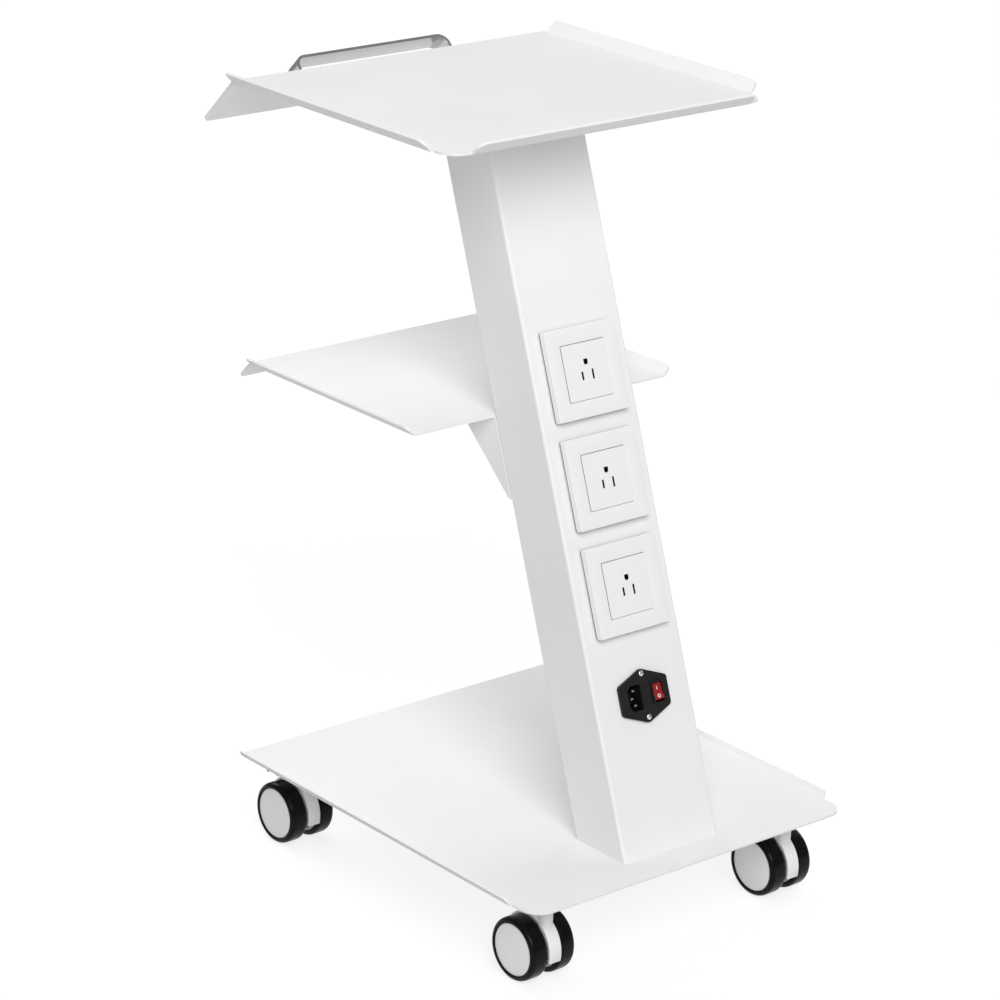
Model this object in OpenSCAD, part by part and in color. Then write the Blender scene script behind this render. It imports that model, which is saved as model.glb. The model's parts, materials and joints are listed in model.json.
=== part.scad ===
// Rolling salon trolley: a leaning sheet-metal column stands on a wheeled base plate and carries
// a top shelf with a handle, a smaller middle shelf, three mains outlets and a power inlet.
// Millimetres, +Z up. The outlet side faces -Y and the handle side faces +Y.

/* [Base] */
// Height of the base plate's upper surface above the floor
base_top = 92; // [92:1:96]
// Width of the base plate between its side bends
base_w = 396; // [380:2:420]
// Depth of the base plate, front edge to back edge
base_d = 449; // [430:1:470]
// Thickness of the base plate sheet
base_t = 2; // [1.5:0.5:3]
// Length of the upturned lip on each side of the base plate
base_lip = 6; // [5:0.5:10]

/* [Column] */
// Width of the column across the trolley
column_w = 118; // [114:1:124]
// Depth of the column, measured square to its faces
column_d = 66; // [64:1:72]
// Thickness of the column sheet
column_t = 2; // [1.5:0.5:2]
// Lean of the column away from the outlet side, in degrees
lean = 20; // [19:0.5:21]
// Distance from the base plate's front edge to the column's foot
column_setback = 34; // [30:1:40]

/* [Top shelf] */
// Height of the top shelf's upper surface
top_z = 765; // [750:5:790]
// Width of the top shelf between its side bends
top_w = 382; // [370:2:400]
// Depth of the top shelf between its front and back bends
top_d = 321; // [310:1:330]
// Distance from the column's foot to the front bend of the top shelf
top_front = 127; // [120:1:134]
// Thickness of the top shelf sheet
top_t = 2.5; // [2:0.5:3]
// Length of the upturned lips of the top shelf
top_lip = 14; // [10:1:18]
// Length of the flange folded down at the back of the top shelf
top_flange = 67; // [60:1:70]

/* [Middle shelf] */
// Height of the middle shelf's upper surface
mid_z = 476; // [465:1:485]
// Width of the middle shelf between its side bends
mid_w = 308; // [300:2:320]
// Depth of the middle shelf, column to back bend
mid_d = 256; // [240:1:270]
// Thickness of the middle shelf sheet
mid_t = 2; // [1.5:0.5:2.5]
// Length of the upturned lips of the middle shelf
mid_lip = 11; // [8:1:14]
// Length of the flange folded down at the back of the middle shelf
mid_flange = 25; // [20:1:32]

/* [Handle] */
// Overall width of the handle
handle_w = 188; // [160:2:200]
// Height of the handle above the flange
handle_h = 27; // [26:1:32]
// Width of the flat bar the handle is bent from
bar_w = 20; // [18:1:22]
// Thickness of the flat bar
bar_t = 3; // [2.5:0.5:4]

/* [Outlets] */
// Side of the square cover frame
plate_size = 86; // [86:1:88]
// Distance between outlet centres along the column
plate_pitch = 102.7; // [100:0.1:104]
// Distance along the column from the foot to the upper outlet's centre
plate_top_s = 459; // [455:1:465]

/* [Casters] */
// Radius of the wheels
wheel_r = 31; // [30:0.5:31]
// Width of one wheel
wheel_w = 18.5; // [17:0.5:19]
// Distance from the swivel axis to the axle
trail = 16; // [15:0.5:17]
// Distance of the swivel axes from the trolley's centre line
caster_x = 152; // [146:1:156]
// Distance of the swivel axes from the base plate's front edge
caster_front = 38; // [36:1:44]
// Distance of the swivel axes from the base plate's back edge
caster_back = 44; // [38:1:50]

/* [Hidden] */
$fn = 96;
// Inner radius of every sheet bend, and the angle each lip and flange is folded by
bend_r = 2;
fold = 45;
// How far a rounding runs past the line it would otherwise only touch
ease = 0.03;
// A length that reaches past every cut
reach = 400;

base_under = base_top - base_t;
top_under = top_z - top_t;
mid_under = mid_z - mid_t;

// Back bend of the top shelf, measured from the base plate's front edge
back_bend = column_setback + top_front + top_d;
// How far a fold's outer arc runs out from and away from the bend line
arc_out = (bend_r + top_t) * sin(fold);
arc_drop = (bend_r + top_t) * (1 - cos(fold));
bar_start = 21;
depth_all = back_bend + arc_out + cos(fold) * (bar_start + bar_w) + sin(fold) * handle_h;

// Front edge of the base plate; the whole depth is centred on the origin
y_front = -depth_all / 2;
y_foot = y_front + column_setback;
y_back_bend = y_front + back_bend;

// Level depth of the leaning column, and its back face at a given height
column_level_d = column_d / cos(lean);
function face_back(z) = y_foot + column_level_d + tan(lean) * (z - base_top);
function centre_at(z) = y_foot + column_level_d / 2 + tan(lean) * (z - base_top);

column_r = 3;
y_mid = face_back(mid_z);

// Fasteners of the column's foot and of both shelves
foot_t = 6;
foot_bolt_x = 38;
foot_bolt_y = 14;
head_t = 5;
stud_r = 3;
stud_l = 15;
nut_h = 5;
nut_r = 5.8;
top_stud_x = 36;
top_stud_y = 12;

// Gusset under the middle shelf
gusset_t = 2.5;
gusset_arm = 57;
gusset_drop = 74;
gusset_tip = 3;
mid_stud_x = 40;
mid_stud_y = [16, 42];
rivet_x = 40;
rivet_s = [20, 52];

// Outlets
frame_gap = 1.6;
plate_t = 8.5;
plate_r = 2.5;
pocket_size = 76;
pocket_t = 3;
window = 54;
insert_size = 53.2;
insert_front = 8.7;
yoke_size = 78;
module_size = 50;
module_depth = 30;
module_cut = 52;
screw_x = 30.15;
outlet_s = [plate_top_s, plate_top_s - plate_pitch, plate_top_s - 2 * plate_pitch];
slot_x = 6.35;
slot_z = -4.2;
slot_w = 2.2;
slot_h = [8, 9.6];
ground_z = 8;
ground_r = 2.5;
contact_front = 2;
contact_back = 10;

// Power inlet
inlet_s = plate_top_s - 3 * plate_pitch - 2.5;
inlet_half_w = 30;
inlet_side = 14;
inlet_half_h = 26;
inlet_cut = 1.6;
inlet_t = 3;
inlet_body_w = 47;
inlet_body_h = 27.4;
inlet_depth = 30;
recess_x = [-20, -4.2];
recess_half = 12.3;
recess_cut = 4;
recess_floor = 13;
pin_line = -11.6;
pin_earth = -14.6;
pin_z = 7;
pin_w = 3.4;
pin_t = 2;
inlet_screw_z = 20.9;
drawer_x = 2.4;
drawer_w = 9;
drawer_h = 22;
drawer_depth = 16;
slide_gap = 0.1;
fuse_r = 2.6;
fuse_l = 20;
fuse_y = 8;
switch_x = 16.3;
switch_w = 13.2;
switch_h = 20.4;
bezel_w = 14.8;
bezel_h = 22;
bezel_t = 1.2;
rocker_w = 11.2;
rocker_r = 9.4;
rocker_y = 2.4;
rocker_tilt = 10;
wire_r = 1.4;
wire_x = [-8, 0, 8];

// Casters
gap_half = 7.5;
hood_half = 7;
hood_r = 33;
hood_t = 3;
socket_r = 7;
socket_top = 70;
socket_floor = 44;
axle_r = 3;
axle_half = gap_half + wheel_w - 2.8;
run_gap = 0.05;
pivot_r = 4;
hub_r = 25.5;
boss_r = 11;
boss_h = 14;
collar_h = 4.6;
thread_r = 5;
pedal_half = 13;
pedal_l = 12;
pedal_back = 5;
pedal_t = 3;
pedal_angle = -30;
pedal_pin_r = 2;
pedal_seat = 58;
pedal_seat_r = 37.5;
y_swivel_front = y_front + caster_front;
y_swivel_back = y_front + base_d - caster_back;

// ---- shared shapes ----

// Rectangle with all four corners rounded, centred
module rounded(w, h, r) {
    square([w - 2 * r, h], center = true);
    square([w, h - 2 * r], center = true);
    for (x = [-1, 1], y = [-1, 1])
        translate([x * (w / 2 - r), y * (h / 2 - r)]) circle(r);
}

// Strip from y = 0 out to y = l, its two outer corners rounded
module tab(w, l, r) {
    translate([-w / 2, 0]) square([w, l - r]);
    translate([-w / 2 + r, 0]) square([w - 2 * r, l]);
    for (x = [-1, 1])
        translate([x * (w / 2 - r), l - r]) circle(r);
}

// Section of a sheet whose last part turns up: flat for run, then the fold, then a lip of length l.
// The fold's arcs are wider by ease than arcs that would only touch the flats, so that every pair
// of lines crosses at an angle.
module fold_section(run, l, t, angle = fold) {
    r_in = bend_r + ease;
    r_out = bend_r + t + ease;
    past = (acos(bend_r / r_in) + acos((bend_r + t) / r_out)) / 2;
    back = (sqrt(r_in * r_in - bend_r * bend_r)
        + sqrt(r_out * r_out - (bend_r + t) * (bend_r + t))) / 2;
    union() {
        translate([-run, -t]) square([run + back, t]);
        translate([0, bend_r]) intersection() {
            difference() {
                circle(r_out);
                circle(r_in);
            }
            polygon([
                [0, 0],
                [-sin(past), -cos(past)] * 3 * r_out,
                [sin(angle + past), -cos(angle + past)] * 3 * r_out
            ]);
        }
        translate([0, bend_r]) rotate(angle) translate([-back, -bend_r - t]) square([l + back, t]);
    }
}

// Cuts the two outer corners of a lip of width w and length l to the radii in r
module lip_corners(w, l, t, r, angle = fold) {
    translate([0, 0, bend_r]) rotate([angle, 0, 0]) translate([0, 0, -bend_r - 2 * t])
        for (x = [0, 1]) mirror([x, 0, 0]) corner_cutter(w / 2, l, r[x], 3 * t);
}

// What is outside radius r at the corner (x, y) of a sheet, over height h
module corner_cutter(x, y, r, h) {
    translate([x - r + ease, y - r + ease, 0]) difference() {
        cube([r + 1, r + 1, h]);
        translate([0, 0, -1]) cylinder(h = h + 2, r = r);
    }
}

// Places children in the column's leaning frame: X across, Y into the column, Z up its face
module on_column(s = 0) {
    translate([0, y_foot, base_top]) rotate([-lean, 0, 0]) translate([0, 0, s]) children();
}

// Draws an outline facing -Y, from depth y0 (towards the viewer) back to depth y1
module facing(y0, y1) {
    translate([0, y1, 0]) rotate([90, 0, 0]) linear_extrude(y1 - y0) children();
}

module level_slab(z0, z1) {
    translate([-reach, -reach, z0]) cube([2 * reach, 2 * reach, z1 - z0]);
}

// Leaning bar with the column's section, shrunk by inset on every side
module column_bar(inset) {
    on_column(-80) translate([0, column_d / 2, 0]) linear_extrude(900)
        rounded(column_w - 2 * inset, column_d - 2 * inset, max(column_r - inset, 0.5));
}

// Places children on the outer side of the top shelf's back flange: Y down it, Z away from it
module on_flange() {
    translate([0, y_back_bend + arc_out, top_z - arc_drop]) rotate([-fold, 0, 0]) children();
}

module hex_bolt(r, l, head_r, head_h) {
    cylinder(h = l, r = r);
    translate([0, 0, -head_h]) cylinder(h = head_h, r = head_r, $fn = 6);
}

// ---- base and column ----

module base_plate() {
    corner_r = 22;
    back_r = 3;
    lip_y0 = 34;
    lip_y1 = base_d - 4;
    lip_fold = 60;
    half = base_w / 2;
    color([0.93, 0.93, 0.93]) difference() {
        translate([0, y_front + base_d, base_top]) rotate([90, 0, 0]) linear_extrude(base_d)
            for (x = [0, 1]) mirror([x, 0]) translate([half, 0])
                fold_section(half + 1, base_lip, base_t, lip_fold);
        translate([0, y_front, base_top]) for (x = [0, 1]) mirror([x, 0, 0]) {
            translate([half, -1, -reach / 2]) cube([reach, lip_y0 + 1, reach]);
            translate([half, lip_y1, -reach / 2]) cube([reach, reach, reach]);
            translate([half, 0, 0]) rotate([0, 0, -90])
                translate([-(lip_y0 + lip_y1) / 2, 0, 0])
                    lip_corners(lip_y1 - lip_y0, base_lip, base_t, [5, 3], lip_fold);
            translate([0, 0, -reach / 2]) mirror([0, 1, 0]) corner_cutter(half, 0, corner_r, reach);
            translate([0, 0, -reach / 2]) corner_cutter(half, base_d, back_r, reach);
        }
        for (x = [-1, 1], y = [-1, 1])
            translate([x * foot_bolt_x, centre_at(base_top) + y * foot_bolt_y, base_under - 1])
                cylinder(h = base_t + 2, r = 4.3);
    }
}

module column_shell() {
    color([0.92, 0.92, 0.92]) difference() {
        intersection() {
            difference() {
                column_bar(0);
                column_bar(column_t);
            }
            level_slab(base_top, top_under);
        }
        for (s = outlet_s) on_column(s) {
            facing(-1, column_t + 1) rounded(module_cut, module_cut, 2);
            for (x = [-1, 1])
                translate([x * screw_x, 0, 0]) facing(-1, column_t + 1) circle(2);
        }
        on_column(inlet_s) {
            facing(-1, column_t + 1) rounded(inlet_body_w + 0.6, inlet_body_h + 0.6, 1);
            for (z = [-1, 1])
                translate([0, 0, z * inlet_screw_z]) facing(-1, column_t + 1) circle(1.8);
        }
        gusset_holes();
    }
}

module column_foot_plate() {
    color([0.55, 0.56, 0.58]) difference() {
        intersection() {
            column_bar(column_t);
            level_slab(base_top, base_top + foot_t);
        }
        for (x = [-1, 1], y = [-1, 1])
            translate([x * foot_bolt_x, centre_at(base_top) + y * foot_bolt_y, base_top - 1])
                cylinder(h = foot_t + 2, r = 4.05);
    }
}

module column_head_plate() {
    color([0.55, 0.56, 0.58]) difference() {
        intersection() {
            column_bar(column_t);
            level_slab(top_under - head_t, top_under);
        }
        top_stud_places() translate([0, 0, -head_t - 1]) cylinder(h = head_t + 2, r = 3.2);
    }
}

module foot_bolts() {
    color([0.6, 0.61, 0.63])
        for (x = [-1, 1], y = [-1, 1])
            translate([x * foot_bolt_x, centre_at(base_top) + y * foot_bolt_y, base_under])
                hex_bolt(4, base_t + foot_t + 3, 7.5, 5.3);
}

// ---- shelves ----

module top_stud_places() {
    for (x = [-1, 1], y = [-1, 1])
        translate([x * top_stud_x, centre_at(top_under) - 2 + y * top_stud_y, top_under])
            children();
}

module mid_stud_places() {
    for (x = [-1, 1], y = mid_stud_y)
        translate([x * mid_stud_x, face_back(mid_under) + y, mid_under]) children();
}

module weld_studs() {
    color([0.7, 0.71, 0.72]) {
        top_stud_places() translate([0, 0, -stud_l]) cylinder(h = stud_l, r = stud_r);
        mid_stud_places() translate([0, 0, -stud_l]) cylinder(h = stud_l, r = stud_r);
    }
}

module stud_nut() {
    difference() {
        cylinder(h = nut_h, r = nut_r, $fn = 6);
        translate([0, 0, -1]) cylinder(h = nut_h + 2, r = stud_r + run_gap);
    }
}

module stud_nuts() {
    color([0.6, 0.61, 0.63]) {
        top_stud_places() translate([0, 0, -head_t - nut_h]) stud_nut();
        mid_stud_places() translate([0, 0, -gusset_t - nut_h]) stud_nut();
    }
}

module top_shelf() {
    corner_r = 20;
    inset = 24;
    half = top_w / 2;
    y0 = y_foot + top_front;
    side_end = top_d - 2;
    front_w = top_w - 2 * inset;
    color([0.94, 0.94, 0.94]) difference() {
        union() {
            // Flat sheet with the two side lips
            translate([0, y_back_bend, top_z]) rotate([90, 0, 0]) linear_extrude(top_d)
                for (x = [0, 1]) mirror([x, 0]) translate([half, 0])
                    fold_section(half + 1, top_lip, top_t);
            // Front lip
            translate([0, y0, top_z]) rotate([90, 0, -90])
                linear_extrude(front_w, center = true) fold_section(30, top_lip, top_t);
            // Back flange
            translate([0, y_back_bend, top_under]) rotate([90, 0, 90])
                linear_extrude(top_w, center = true) mirror([0, 1])
                    fold_section(30, top_flange, top_t);
        }
        for (x = [0, 1]) mirror([x, 0, 0]) {
            translate([half, y0 - 1, top_z - 10]) cube([reach, inset + 1, 100]);
            translate([half, y0 + side_end, top_z - 1.5 * top_t])
                cube([reach, top_d, 100]);
            translate([half, y0, top_z]) rotate([0, 0, -90])
                translate([-(inset + side_end) / 2, 0, 0])
                    lip_corners(side_end - inset, top_lip, top_t, [9, 4]);
            translate([0, y0, top_under - 1]) mirror([0, 1, 0])
                corner_cutter(half, 0, corner_r, top_t + 2);
        }
        translate([0, y0, top_z]) rotate([0, 0, 180])
            lip_corners(front_w, top_lip, top_t, [9, 9]);
        translate([0, y_back_bend, top_under]) mirror([0, 0, 1])
            lip_corners(top_w, top_flange, top_t, [8, 8]);
        handle_screw_places() translate([0, 0, -top_t - 1]) cylinder(h = top_t + 2, r = 2.7);
    }
}

module middle_shelf() {
    half = mid_w / 2;
    side_end = mid_d - 4;
    color([0.94, 0.94, 0.94]) difference() {
        union() {
            translate([0, y_mid + mid_d, mid_z]) rotate([90, 0, 0]) linear_extrude(mid_d)
                for (x = [0, 1]) mirror([x, 0]) translate([half, 0])
                    fold_section(half + 1, mid_lip, mid_t);
            translate([0, y_mid + mid_d, mid_under]) rotate([90, 0, 90])
                linear_extrude(mid_w, center = true) mirror([0, 1])
                    fold_section(30, mid_flange, mid_t);
        }
        for (x = [0, 1]) mirror([x, 0, 0]) {
            translate([half, y_mid + side_end, mid_z - 1.5 * mid_t]) cube([reach, mid_d, 100]);
            translate([half, y_mid, mid_z]) rotate([0, 0, -90])
                translate([-side_end / 2, 0, 0]) lip_corners(side_end, mid_lip, mid_t, [7, 4]);
        }
        translate([0, y_mid + mid_d, mid_under]) mirror([0, 0, 1])
            lip_corners(mid_w, mid_flange, mid_t, [6, 6]);
    }
}

module gusset_places() {
    for (x = [-1, 1], s = rivet_s)
        on_column((mid_under - base_top) / cos(lean) + column_d * tan(lean) - s)
            translate([x * rivet_x, column_d, 0]) rotate([-90, 0, 0]) children();
}

module gusset_holes() {
    gusset_places() translate([0, 0, -column_t - 1])
        cylinder(h = column_t + gusset_t + 2, r = 2.45);
}

module shelf_gusset() {
    low_z = mid_under - gusset_drop;
    arm_y = face_back(mid_under) + gusset_arm;
    side = [[face_back(mid_under), mid_under], [arm_y, mid_under], [arm_y, mid_under - gusset_tip],
        [face_back(low_z) + gusset_tip, low_z], [face_back(low_z), low_z]];
    shelf_in = mid_under - gusset_t;
    skin = gusset_t / cos(lean);
    hollow = [[face_back(shelf_in) + skin, shelf_in], [arm_y + 20, shelf_in],
        [arm_y + 20, low_z - 20], [face_back(low_z - 20) + skin, low_z - 20]];
    color([0.9, 0.9, 0.9]) difference() {
        rotate([90, 0, 90]) linear_extrude(column_w, center = true) polygon(side);
        rotate([90, 0, 90]) linear_extrude(column_w - 2 * gusset_t, center = true)
            polygon(hollow);
        mid_stud_places() translate([0, 0, -gusset_t - 1])
            cylinder(h = gusset_t + 2, r = 3.2);
        gusset_holes();
    }
}

module gusset_rivets() {
    grip = column_t + gusset_t;
    color([0.72, 0.73, 0.74]) gusset_places() {
        translate([0, 0, -column_t]) cylinder(h = grip, r = 2.4);
        translate([0, 0, gusset_t + 0.01]) cylinder(h = 1.4, r = 4.8);
        translate([0, 0, -column_t - 4]) cylinder(h = 4, r = 3.4);
    }
}

// ---- handle ----

module handle_screw_places() {
    on_flange()
        for (x = [-1, 1])
            translate([x * (handle_w / 2 - 15), bar_start + bar_w / 2, 0]) children();
}

module handle() {
    out_r = 12;
    color([0.72, 0.73, 0.74]) difference() {
        on_flange() translate([0, bar_start + bar_w, handle_h / 2]) rotate([90, 0, 0])
            linear_extrude(bar_w) difference() {
                rounded(handle_w, handle_h, out_r);
                rounded(handle_w - 2 * bar_t, handle_h - 2 * bar_t, out_r - bar_t);
                translate([0, -handle_h / 2])
                    square([handle_w - 44, 2 * bar_t + 2], center = true);
            }
        handle_screw_places() translate([0, 0, -1]) cylinder(h = bar_t + 2, r = 2.55);
    }
}

module handle_screws() {
    color([0.65, 0.66, 0.68]) handle_screw_places() {
        translate([0, 0, -top_t]) cylinder(h = top_t + bar_t, r = 2.5);
        translate([0, 0, -top_t - 2.8]) cylinder(h = 2.8, r = 4.6);
    }
}

// ---- outlets ----

module outlet_frame(s) {
    color([0.93, 0.93, 0.93]) on_column(s) difference() {
        facing(-plate_t, -frame_gap) rounded(plate_size, plate_size, plate_r);
        facing(-plate_t - 1, 0) rounded(window, window, 1.2);
        facing(-frame_gap - pocket_t, 0) rounded(pocket_size, pocket_size, 1);
    }
}

module outlet_module(s) {
    color([0.95, 0.95, 0.95]) on_column(s) difference() {
        union() {
            facing(-insert_front, 0) rounded(insert_size, insert_size, 1);
            facing(-frame_gap, 0) rounded(yoke_size, yoke_size, 2);
            facing(0, module_depth) rounded(module_size, module_size, 2);
        }
        facing(-insert_front - 1, 0) {
            translate([-slot_x, slot_z]) square([slot_w, slot_h[0]], center = true);
            translate([slot_x, slot_z]) square([slot_w, slot_h[1]], center = true);
            translate([0, ground_z]) ground_outline();
        }
        for (x = [-1, 1]) {
            facing(-contact_front, contact_back) translate([x * slot_x, slot_z])
                square([5, 10.4], center = true);
            translate([x * screw_x, 0, 0]) facing(-frame_gap - 1, 1) circle(2);
        }
        facing(-contact_front, contact_back) translate([0, ground_z]) circle(4.2);
    }
}

// Hole round at the bottom and square at the top
module ground_outline() {
    circle(ground_r);
    translate([-ground_r, 0]) square([2 * ground_r, ground_r + 0.6]);
}

module outlet_contacts() {
    color([0.8, 0.62, 0.25]) for (s = outlet_s) on_column(s) {
        for (x = [-1, 1]) difference() {
            facing(-contact_front, contact_back) translate([x * slot_x, slot_z])
                square([4.8, 10.2], center = true);
            facing(-contact_front - 1, contact_back - 1) translate([x * slot_x, slot_z])
                square([2.4, 11], center = true);
        }
        difference() {
            facing(-contact_front, contact_back) translate([0, ground_z]) circle(4.1);
            facing(-contact_front - 1, contact_back - 1) translate([0, ground_z]) circle(3.3);
        }
    }
}

module outlet_screws() {
    color([0.65, 0.66, 0.68]) for (s = outlet_s, x = [-1, 1])
        on_column(s) translate([x * screw_x, 0, 0]) {
            facing(-frame_gap, 9) circle(1.95);
            facing(-frame_gap - 2.4, -frame_gap) circle(3.4);
        }
}

module outlet_frame_top() { outlet_frame(outlet_s[0]); }
module outlet_frame_middle() { outlet_frame(outlet_s[1]); }
module outlet_frame_bottom() { outlet_frame(outlet_s[2]); }
module outlet_module_top() { outlet_module(outlet_s[0]); }
module outlet_module_middle() { outlet_module(outlet_s[1]); }
module outlet_module_bottom() { outlet_module(outlet_s[2]); }

// ---- power inlet ----

// Hexagon with its six corners cut off short
module inlet_outline() {
    corners = [[0, inlet_half_h], [inlet_half_w, inlet_side], [inlet_half_w, -inlet_side],
        [0, -inlet_half_h], [-inlet_half_w, -inlet_side], [-inlet_half_w, inlet_side]];
    polygon([for (i = [0:5], step = [5, 1])
        corners[i] + inlet_cut * toward(corners[i], corners[(i + step) % 6])]);
}

function toward(a, b) = (b - a) / norm(b - a);

module recess_outline() {
    polygon([[recess_x[1], recess_half], [recess_x[0] + recess_cut, recess_half],
        [recess_x[0], recess_half - recess_cut], [recess_x[0], -recess_half + recess_cut],
        [recess_x[0] + recess_cut, -recess_half], [recess_x[1], -recess_half]]);
}

module inlet_pin_places() {
    for (z = [-pin_z, pin_z]) translate([pin_line, z]) children();
    translate([pin_earth, 0]) children();
}

module inlet_body() {
    color([0.05, 0.05, 0.05]) on_column(inlet_s) difference() {
        union() {
            facing(-inlet_t, 0) inlet_outline();
            facing(0, inlet_depth) rounded(inlet_body_w, inlet_body_h, 1);
        }
        facing(-inlet_t - 1, recess_floor) recess_outline();
        facing(recess_floor - 1, inlet_depth + 1) inlet_pin_places()
            square([pin_w, pin_t], center = true);
        facing(-inlet_t - 1, drawer_depth + 1) translate([drawer_x, 0])
            square([drawer_w + 2 * slide_gap, drawer_h + 2 * slide_gap], center = true);
        facing(-inlet_t - 1, inlet_depth + 1) translate([switch_x, 0])
            square([switch_w, switch_h], center = true);
        for (z = [-1, 1])
            translate([0, 0, z * inlet_screw_z]) facing(-inlet_t - 1, 1) circle(1.75);
    }
}

module inlet_pins() {
    color([0.78, 0.79, 0.8]) on_column(inlet_s) facing(-1, inlet_depth + 5)
        inlet_pin_places() square([pin_w, pin_t], center = true);
}

module inlet_screws() {
    color([0.78, 0.79, 0.8]) on_column(inlet_s) for (z = [-1, 1])
        translate([0, 0, z * inlet_screw_z]) {
            facing(-inlet_t, 8) circle(1.7);
            facing(-inlet_t - 1.6, -inlet_t) circle(2.8);
        }
}

module fuse_drawer() {
    color([0.08, 0.08, 0.08]) on_column(inlet_s) difference() {
        union() {
            facing(-inlet_t - 0.4, drawer_depth) translate([drawer_x, 0])
                square([drawer_w, drawer_h], center = true);
            facing(-inlet_t - 1.6, -inlet_t) translate([drawer_x, 7])
                square([drawer_w - 3, 1.6], center = true);
        }
        facing(fuse_y - fuse_r, drawer_depth + 1) translate([drawer_x, 0])
            square([2 * fuse_r, fuse_l + 0.2], center = true);
    }
}

module fuse() {
    color([0.85, 0.86, 0.86]) on_column(inlet_s)
        translate([drawer_x, fuse_y, -fuse_l / 2]) cylinder(h = fuse_l, r = fuse_r);
}

module switch_housing() {
    color([0.06, 0.06, 0.06]) on_column(inlet_s) translate([switch_x, 0, 0]) difference() {
        union() {
            facing(-inlet_t - bezel_t, -inlet_t) rounded(bezel_w, bezel_h, 1);
            facing(-inlet_t, 20) square([switch_w, switch_h], center = true);
        }
        facing(-inlet_t - bezel_t - 1, 12)
            square([rocker_w + 0.4, 2 * rocker_r + 0.4], center = true);
    }
}

// The rocker rests with its upper end pressed in
module switch_rocker() {
    color([0.7, 0.08, 0.06]) on_column(inlet_s) translate([switch_x, rocker_y, 0])
        rotate([-rocker_tilt, 0, 0]) rotate([90, 0, 90])
            linear_extrude(rocker_w, center = true) intersection() {
                circle(rocker_r);
                polygon([[6, -9], [6, 9], [-6.3, 9], [-5, 0], [-6.3, -9]]);
            }
    color([0.7, 0.08, 0.06]) on_column(inlet_s)
        for (x = [-1, 1])
            translate([switch_x + x * rocker_w / 2, rocker_y, 0]) rotate([0, 90, 0])
                cylinder(h = 0.3, r = 1.5, center = true);
}

module supply_wires() {
    color([0.3, 0.3, 0.32]) for (x = wire_x)
        on_column(inlet_s - 10) translate([x, inlet_depth + wire_r, 0])
            cylinder(h = plate_top_s - inlet_s + 25, r = wire_r);
}

// ---- casters ----

// Places children at a swivel axis: x is -1 for left or 1 for right, y its distance
module on_caster(x, y) {
    translate([x * caster_x, y, 0]) children();
}

module on_axle() {
    translate([0, trail, wheel_r]) rotate([0, 90, 0]) children();
}

module caster_bosses() {
    color([0.55, 0.56, 0.58])
        for (x = [-1, 1], y = [y_swivel_front, y_swivel_back]) on_caster(x, y)
            translate([0, 0, base_under - boss_h]) difference() {
                cylinder(h = boss_h, r = boss_r);
                translate([0, 0, -1]) cylinder(h = boss_h + 2, r = thread_r + run_gap);
            }
}

module caster_stems() {
    color([0.7, 0.71, 0.72])
        for (x = [-1, 1], y = [y_swivel_front, y_swivel_back]) on_caster(x, y) {
            translate([0, 0, socket_floor + 1])
                cylinder(h = base_under - boss_h - socket_floor - 1, r = pivot_r);
            translate([0, 0, base_under - boss_h - collar_h])
                cylinder(h = collar_h, r = 9.8, $fn = 6);
            translate([0, 0, base_under - boss_h]) cylinder(h = boss_h - 1, r = thread_r);
        }
}

// Part of a disc between two angles, seen from +X with +Y to the right
module sector(r, from, to) {
    mid = (from + to) / 2;
    intersection() {
        circle(r);
        polygon([[0, 0], 2 * r * [cos(from), sin(from)], 2 * r * [cos(mid), sin(mid)],
            2 * r * [cos(to), sin(to)]]);
    }
}

module hood(x, y, brake) {
    seat = [cos(pedal_seat), sin(pedal_seat)] * pedal_seat_r;
    color([0.9, 0.9, 0.9]) on_caster(x, y) difference() {
        union() {
            translate([0, trail, wheel_r]) rotate([90, 0, 90]) {
                linear_extrude(2 * hood_half, center = true) {
                    difference() {
                        sector(hood_r, 30, 194);
                        circle(hood_r - hood_t);
                    }
                    circle(7);
                }
                linear_extrude(5, center = true) {
                    sector(hood_r - 1, 33, 190);
                    if (brake) translate(seat / 2) circle(3);
                }
                if (brake) linear_extrude(7, center = true) {
                    translate(seat) circle(3.6);
                    translate(seat * 0.9) circle(3.6);
                }
            }
            translate([0, 0, socket_floor - 6])
                cylinder(h = socket_top - socket_floor + 6, r = socket_r);
        }
        on_axle() cylinder(h = 60, r = axle_r, center = true);
        translate([0, 0, socket_floor]) cylinder(h = 60, r = pivot_r + run_gap);
        if (brake) translate([0, trail + seat[0], wheel_r + seat[1]]) rotate([0, 90, 0])
            cylinder(h = 60, r = pedal_pin_r + run_gap, center = true);
    }
}

module axle(x, y) {
    color([0.7, 0.71, 0.72]) on_caster(x, y) on_axle()
        cylinder(h = 2 * axle_half, r = axle_r, center = true);
}

// Places a wheel's own frame, its inner face at 0 and its outer face at wheel_w
module on_wheel(x, y, side) {
    on_caster(x, y) translate([side * gap_half, trail, wheel_r]) rotate([0, 90 * side, 0])
        children();
}

module hub(x, y, side) {
    face = wheel_w - 0.6;
    color([0.78, 0.77, 0.75]) on_wheel(x, y, side) rotate_extrude() {
        translate([axle_r + run_gap, 0]) square([5, face - 1]);
        translate([0, face - 2]) square([hub_r, 2]);
        translate([hub_r - 2.5, 0]) square([2.5, face]);
    }
}

module tyre(x, y, side) {
    shoulder = 4;
    color([0.04, 0.04, 0.04]) on_wheel(x, y, side) rotate_extrude() {
        translate([hub_r, 0]) square([wheel_r - shoulder - hub_r, wheel_w]);
        translate([wheel_r - shoulder, shoulder]) square([shoulder, wheel_w - 2 * shoulder]);
        intersection() {
            translate([wheel_r - shoulder, 0]) square([shoulder, wheel_w]);
            for (z = [shoulder, wheel_w - shoulder])
                translate([wheel_r - shoulder, z]) circle(shoulder);
        }
    }
}

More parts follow.
